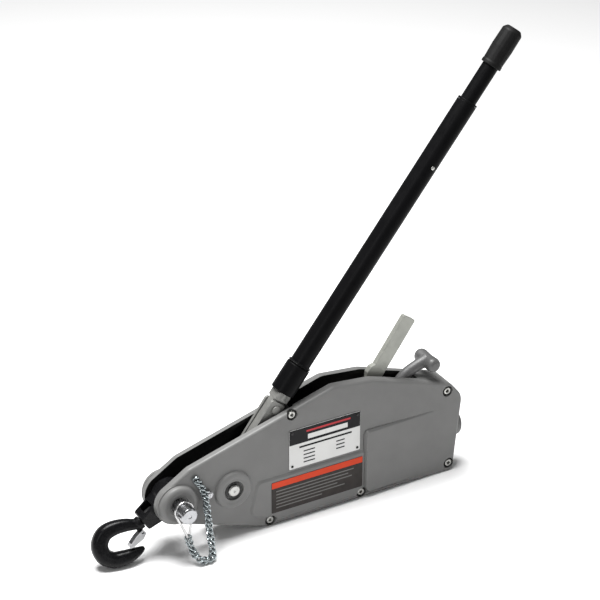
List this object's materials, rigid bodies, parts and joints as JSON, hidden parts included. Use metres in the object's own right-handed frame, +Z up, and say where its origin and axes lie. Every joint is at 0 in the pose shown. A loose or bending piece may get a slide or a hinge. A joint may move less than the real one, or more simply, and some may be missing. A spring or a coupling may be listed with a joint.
{
  "type": "wire rope grip puller",
  "caption": "Lever-operated wire rope puller with a telescopic handle, reversing and release levers, rope jaws in a two-part case, and a swivel anchor hook on a pin.",
  "frame": {"origin": "on the flat base under the case, at the middle of the base's length and 2 mm behind the seam between the two halves", "axes": "+X along the base towards the rope guide, with the anchor hook at -X; +Y from the plated side to the plain side, along every lever's axis; +Z up"},
  "size_m": [0.7231, 0.1135, 0.7238],
  "materials": {
    "case_paint": "satin grey enamel over a cast case",
    "guide_iron": "satin grey paint",
    "release_paint": "satin grey paint",
    "lever_forging": "zinc plated, dulled",
    "reverse_bar": "zinc plated, dulled",
    "bright_zinc": "bright zinc plated",
    "fastener_steel": "dull plated",
    "shaft_steel": "ground",
    "mechanism_steel": "dark, greased",
    "jaw_steel": "hardened, greased",
    "handle_black": "gloss black powder coat",
    "grip_rubber": "matte moulded",
    "hook_black": "black paint on a forging",
    "plate_enamel": "printed plate, blank",
    "label_vinyl": "printed vinyl, blank"
  },
  "bodies": {
    "case": {"near_case": "case_paint", "far_case": "case_paint", "bolt_front": "fastener_steel", "bolt_middle": "fastener_steel", "bolt_rear": "fastener_steel", "bolt_top_rear": "fastener_steel", "bolt_top_front": "fastener_steel", "nut_front": "fastener_steel", "nut_middle": "fastener_steel", "nut_rear": "fastener_steel", "nut_top_rear": "fastener_steel", "nut_top_front": "fastener_steel", "main_shaft": "shaft_steel", "circlip_near": "fastener_steel", "circlip_far": "fastener_steel", "reverse_shaft": "shaft_steel", "release_shaft": "shaft_steel", "anchor_pin": "bright_zinc", "lock_clip": "bright_zinc", "retaining_chain": "bright_zinc", "chain_screw": "bright_zinc", "rating_plate": "plate_enamel", "plate_rivet_lower_front": "fastener_steel", "plate_rivet_lower_rear": "fastener_steel", "plate_rivet_upper_front": "fastener_steel", "plate_rivet_upper_rear": "fastener_steel", "info_label": "label_vinyl", "rope_guide": "guide_iron"},
    "forward_lever": {"forward_crank": "lever_forging", "crank_pin_upper_near": "shaft_steel", "crank_pin_upper_far": "shaft_steel", "crank_pin_lower": "shaft_steel", "lever_stub": "lever_forging", "shear_pin_lower": "bright_zinc", "shear_pin_upper": "bright_zinc"},
    "handle": {"handle_socket": "handle_black", "handle_tube": "handle_black", "handle_rivet": "fastener_steel"},
    "inner_handle": {"inner_tube": "handle_black", "handle_grip": "grip_rubber"},
    "upper_rods": {"upper_rod_near": "mechanism_steel", "upper_rod_far": "mechanism_steel"},
    "lower_rods": {"lower_rod_near": "mechanism_steel", "lower_rod_far": "mechanism_steel"},
    "front_jaw": {"front_jaw_frame": "mechanism_steel", "front_jaw_pin": "shaft_steel"},
    "rear_jaw": {"rear_jaw_frame": "mechanism_steel", "rear_jaw_pin": "shaft_steel"},
    "front_upper_jaw": {"front_jaw_upper": "jaw_steel"},
    "front_lower_jaw": {"front_jaw_lower": "jaw_steel"},
    "rear_upper_jaw": {"rear_jaw_upper": "jaw_steel"},
    "rear_lower_jaw": {"rear_jaw_lower": "jaw_steel"},
    "reverse_lever": {"reverse_lever": "reverse_bar"},
    "release_lever": {"release_lever": "release_paint"},
    "yoke": {"hook_yoke": "hook_black"},
    "hook": {"hook": "hook_black", "swivel_nut": "hook_black", "latch_pin": "bright_zinc"},
    "latch": {"safety_latch": "bright_zinc"}
  },
  "joints": [
    {"name": "lever_swing", "type": "hinge", "parent": "case", "child": "forward_lever", "pos_m": [-0.2263, 0, 0.0868], "axis": [0, 1, 0], "range_deg": [-70, 0]},
    {"name": "handle_pull", "type": "slide", "parent": "forward_lever", "child": "handle", "axis": [0.6157, 0, 0.788], "range_m": [0, 0.085]},
    {"name": "inner_handle_slide", "type": "slide", "parent": "handle", "child": "inner_handle", "axis": [0.6157, 0, 0.788], "range_m": [-0.06, 0.19]},
    {"name": "upper_rods_turn", "type": "hinge", "parent": "forward_lever", "child": "upper_rods", "pos_m": [-0.20783, 0, 0.11044], "axis": [0, 1, 0], "range_deg": [0, 70]},
    {"name": "lower_rods_turn", "type": "hinge", "parent": "forward_lever", "child": "lower_rods", "pos_m": [-0.24477, 0, 0.06316], "axis": [0, 1, 0], "range_deg": [0, 70]},
    {"name": "front_jaw_slide", "type": "slide", "parent": "case", "child": "front_jaw", "axis": [0.9942, 0, -0.108], "range_m": [0, 0.0345]},
    {"name": "rear_jaw_slide", "type": "slide", "parent": "case", "child": "rear_jaw", "axis": [0.9942, 0, -0.108], "range_m": [-0.0345, 0]},
    {"name": "reverse_lever_swing", "type": "hinge", "parent": "case", "child": "reverse_lever", "pos_m": [0.002, 0, 0.151], "axis": [0, 1, 0], "range_deg": [-45, 0]},
    {"name": "release_lever_swing", "type": "hinge", "parent": "case", "child": "release_lever", "pos_m": [0.066, 0, 0.143], "axis": [0, 1, 0], "range_deg": [-36, 0]},
    {"name": "front_upper_jaw_lift", "type": "slide", "parent": "front_jaw", "child": "front_upper_jaw", "axis": [0.108, 0, 0.9942], "range_m": [0, 0.003]},
    {"name": "front_lower_jaw_drop", "type": "slide", "parent": "front_jaw", "child": "front_lower_jaw", "axis": [-0.108, 0, -0.9942], "range_m": [0, 0.003]},
    {"name": "rear_upper_jaw_lift", "type": "slide", "parent": "rear_jaw", "child": "rear_upper_jaw", "axis": [0.108, 0, 0.9942], "range_m": [0, 0.003]},
    {"name": "rear_lower_jaw_drop", "type": "slide", "parent": "rear_jaw", "child": "rear_lower_jaw", "axis": [-0.108, 0, -0.9942], "range_m": [0, 0.003]},
    {"name": "yoke_swing", "type": "hinge", "parent": "case", "child": "yoke", "pos_m": [-0.3185, 0, 0.0895], "axis": [0, 1, 0], "range_deg": [-58, 70]},
    {"name": "hook_swivel", "type": "hinge", "parent": "yoke", "child": "hook", "pos_m": [-0.36154, 0, 0.06405], "axis": [-0.8607, 0, -0.509], "continuous": true},
    {"name": "latch_swing", "type": "hinge", "parent": "hook", "child": "latch", "pos_m": [-0.36894, -0.00506, 0.04513], "axis": [0.1907, 0.9272, -0.3224], "range_deg": [0, 30], "stiffness_Nm_per_rad": 0.02, "springref_deg": -28.65}
  ],
  "couplings": [
    {"joint": "upper_rods_turn", "follows": "lever_swing", "ratio": -1},
    {"joint": "lower_rods_turn", "follows": "lever_swing", "ratio": -1},
    {"joint": "front_jaw_slide", "follows": "lever_swing", "m_per_rad": -0.02813},
    {"joint": "rear_jaw_slide", "follows": "lever_swing", "m_per_rad": 0.02813},
    {"joint": "reverse_lever_swing", "follows": "lever_swing", "ratio": 0.6428},
    {"joint": "front_upper_jaw_lift", "follows": "release_lever_swing", "m_per_rad": -0.0042},
    {"joint": "front_lower_jaw_drop", "follows": "release_lever_swing", "m_per_rad": -0.0042},
    {"joint": "rear_upper_jaw_lift", "follows": "release_lever_swing", "m_per_rad": -0.0042},
    {"joint": "rear_lower_jaw_drop", "follows": "release_lever_swing", "m_per_rad": -0.0042}
  ]
}
